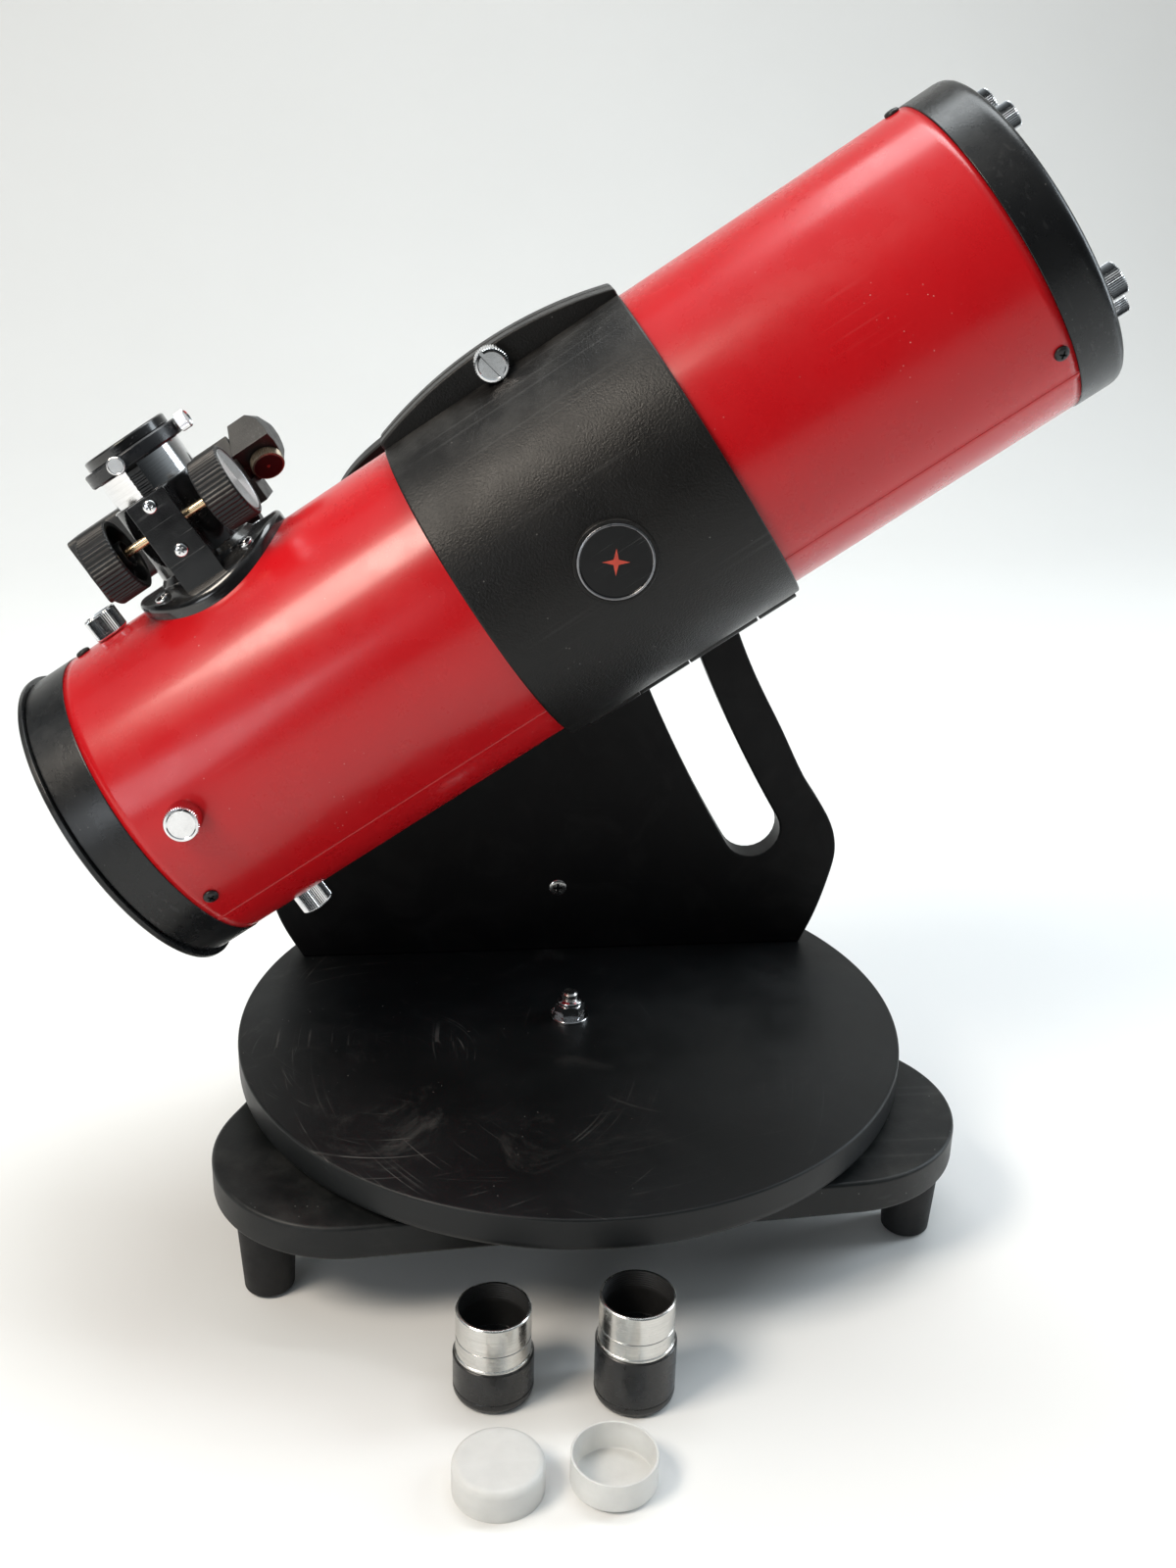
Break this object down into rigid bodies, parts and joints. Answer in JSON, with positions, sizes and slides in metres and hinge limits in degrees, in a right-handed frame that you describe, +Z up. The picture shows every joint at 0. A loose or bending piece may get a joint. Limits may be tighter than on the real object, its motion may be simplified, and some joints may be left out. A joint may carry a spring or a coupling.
{
  "type": "dobsonian telescope",
  "caption": "Tabletop dobsonian reflector: red tube in a clamshell cradle on a one-arm rocker and round turntable, with rack-and-pinion focuser, reflex finder and eyepieces.",
  "frame": {"origin": "at floor level, under the middle of the object's box at rest (kit included); the azimuth axis stands at x = 10.979 mm, y = 26.152 mm", "axes": "+Z up; +Y from the open side towards the side arm, along the altitude axis; +X to the right when the arm is behind the tube, towards the mirror end of the tube"},
  "size_m": [0.4708, 0.4366, 0.5148],
  "materials": {
    "board_black": "satin black foil over fibreboard, dusty and scuffed",
    "foot_rubber": "matt",
    "pad_white": "waxy",
    "steel_plated": "zinc plated",
    "screw_black": "black oxide",
    "cradle_black": "fine leather-like texture, satin",
    "felt_grey": "felt",
    "badge_black": "gloss with silver rim",
    "chrome_knurled": "bright chrome",
    "knob_black": "satin ribbed",
    "tube_red": "gloss",
    "trim_black": "satin",
    "cell_black": "matt",
    "mirror_silver": "polished",
    "spring_steel": "bright",
    "focuser_black": "semi-gloss",
    "chrome_tube": "polished",
    "rack_black": "moulded",
    "shaft_brass": "plated",
    "disc_silver": "radially brushed",
    "finder_black": "fine texture",
    "wheel_black": "knurled",
    "lens_glass": "coated",
    "barrel_chrome": "satin chrome",
    "eyepiece_black": "satin",
    "cap_clear": "translucent frosted"
  },
  "bodies": {
    "ground_base": {"ground_board": "board_black", "feet": "foot_rubber", "foot_screws": "steel_plated", "azimuth_pads": "pad_white", "azimuth_bolt": "steel_plated", "azimuth_locknut": "steel_plated"},
    "rocker": {"turntable_disc": "board_black", "side_panel": "board_black", "rear_brace": "board_black", "base_screws": "screw_black", "altitude_bushing": "pad_white", "friction_washer": "pad_white"},
    "cradle": {"cradle_far_shell": "cradle_black", "cradle_hinge_pin": "steel_plated", "far_liner": "felt_grey", "altitude_bolt": "steel_plated"},
    "cradle_door": {"cradle_near_shell": "cradle_black", "near_liner": "felt_grey", "badge": "badge_black"},
    "clamp_screw": {"clamp_thumbscrew": "chrome_knurled"},
    "tension_knob": {"tension_knob": "knob_black"},
    "tube": {"optical_tube": "tube_red", "front_ring": "trim_black", "rear_cap": "trim_black", "primary_cell": "cell_black", "primary_mirror": "mirror_silver", "cell_springs": "spring_steel", "lock_screws": "chrome_knurled", "spider": "cell_black", "spider_thumbnuts": "chrome_knurled", "secondary_mirror": "mirror_silver", "secondary_holder": "cell_black", "focuser_base": "focuser_black", "rack_cover_plate": "focuser_black", "phillips_screws": "chrome_knurled", "finder_bracket": "finder_black", "finder_body": "finder_black", "finder_lens": "lens_glass"},
    "front_cap": {"front_dust_cap": "trim_black"},
    "collimation_1": {"collimation_knob_1": "chrome_knurled"},
    "collimation_2": {"collimation_knob_2": "chrome_knurled"},
    "collimation_3": {"collimation_knob_3": "chrome_knurled"},
    "drawtube": {"drawtube": "chrome_tube", "focus_rack": "rack_black", "eyepiece_collar": "focuser_black"},
    "pinion": {"pinion_shaft": "shaft_brass", "focus_knobs": "knob_black", "knob_discs": "disc_silver"},
    "collar_screw_1": {"collar_thumbscrew_1": "chrome_knurled"},
    "collar_screw_2": {"collar_thumbscrew_2": "chrome_knurled"},
    "focuser_cap": {"focuser_dust_cap": "focuser_black"},
    "finder_wheel": {"finder_power_wheel": "wheel_black"},
    "eyepiece_1": {"eyepiece_1_body": "eyepiece_black", "eyepiece_1_barrel": "barrel_chrome", "eyepiece_1_lenses": "lens_glass"},
    "eyepiece_2": {"eyepiece_2_body": "eyepiece_black", "eyepiece_2_barrel": "barrel_chrome", "eyepiece_2_lenses": "lens_glass"},
    "storage_cap_1": {"storage_cap_1": "cap_clear"},
    "storage_cap_2": {"storage_cap_2": "cap_clear"}
  },
  "joints": [
    {"name": "azimuth", "type": "hinge", "parent": "ground_base", "child": "rocker", "pos_m": [0.01098, 0.02615, 0.06], "axis": [0, 0, 1], "continuous": true},
    {"name": "altitude", "type": "hinge", "parent": "rocker", "child": "cradle", "pos_m": [0.01098, 0.09515, 0.3326], "axis": [0, 1, 0], "range_deg": [-5, 123.6]},
    {"name": "cradle_opening", "type": "hinge", "parent": "cradle", "child": "cradle_door", "pos_m": [0.05473, 0.0155, 0.26682], "axis": [0.8326, 0, 0.5538], "range_deg": [0, 50]},
    {"name": "clamp_screw_turn", "type": "hinge", "parent": "cradle_door", "child": "clamp_screw", "pos_m": [-0.03024, 0.0059, 0.40306], "axis": [0, -1, 0], "range_deg": [0, 720]},
    {"name": "tension_knob_turn", "type": "hinge", "parent": "cradle", "child": "tension_knob", "pos_m": [0.01098, 0.11615, 0.3326], "axis": [0, 1, 0], "range_deg": [-180, 180]},
    {"name": "tube_slide", "type": "slide", "parent": "cradle", "child": "tube", "axis": [0.8326, 0, 0.5538], "range_m": [-0.02, 0.01]},
    {"name": "front_cap_off", "type": "slide", "parent": "tube", "child": "front_cap", "axis": [-0.8326, 0, -0.5538], "range_m": [0, 0.05]},
    {"name": "focus_travel", "type": "slide", "parent": "tube", "child": "drawtube", "axis": [-0.5513, 0.0958, 0.8288], "range_m": [-0.011, 0.022]},
    {"name": "pinion_turn", "type": "hinge", "parent": "tube", "child": "pinion", "pos_m": [-0.16502, 0.00063, 0.33574], "axis": [0.8326, 0, 0.5538], "range_deg": [-132, 263]},
    {"name": "focuser_cap_off", "type": "slide", "parent": "drawtube", "child": "focuser_cap", "axis": [-0.5513, 0.0958, 0.8288], "range_m": [0, 0.06]},
    {"name": "collar_screw_1_turn", "type": "hinge", "parent": "drawtube", "child": "collar_screw_1", "pos_m": [-0.18421, 0.00415, 0.36082], "axis": [-0.1254, -0.9916, 0.0312], "range_deg": [0, 720]},
    {"name": "collar_screw_2_turn", "type": "hinge", "parent": "drawtube", "child": "collar_screw_2", "pos_m": [-0.1614, 0.02587, 0.37347], "axis": [0.8248, -0.0868, 0.5587], "range_deg": [0, 720]},
    {"name": "finder_wheel_turn", "type": "hinge", "parent": "tube", "child": "finder_wheel", "pos_m": [-0.12828, 0.06171, 0.35021], "axis": [0.2976, -0.8434, -0.4474], "range_deg": [0, 300]},
    {"name": "eyepiece_1_lift", "type": "slide", "parent": "ground_base", "child": "eyepiece_1", "axis": [0, -0.6, 0.8], "range_m": [0, 0.08]},
    {"name": "eyepiece_2_lift", "type": "slide", "parent": "ground_base", "child": "eyepiece_2", "axis": [0, -0.6, 0.8], "range_m": [0, 0.08]},
    {"name": "storage_cap_1_lift", "type": "slide", "parent": "ground_base", "child": "storage_cap_1", "axis": [0, 0, 1], "range_m": [0, 0.04]},
    {"name": "storage_cap_2_lift", "type": "slide", "parent": "ground_base", "child": "storage_cap_2", "axis": [0, 0, 1], "range_m": [0, 0.04]},
    {"name": "collimation_1_turn", "type": "hinge", "parent": "tube", "child": "collimation_1", "pos_m": [0.21489, -0.03253, 0.44133], "axis": [0.8326, 0, 0.5538], "range_deg": [-360, 360]},
    {"name": "collimation_2_turn", "type": "hinge", "parent": "tube", "child": "collimation_2", "pos_m": [0.17324, 0.02012, 0.50394], "axis": [0.8326, 0, 0.5538], "range_deg": [-360, 360]},
    {"name": "collimation_3_turn", "type": "hinge", "parent": "tube", "child": "collimation_3", "pos_m": [0.21932, 0.05892, 0.43467], "axis": [0.8326, 0, 0.5538], "range_deg": [-360, 360]}
  ],
  "couplings": [
    {"joint": "pinion_turn", "follows": "focus_travel", "rad_per_m": 208.33}
  ]
}
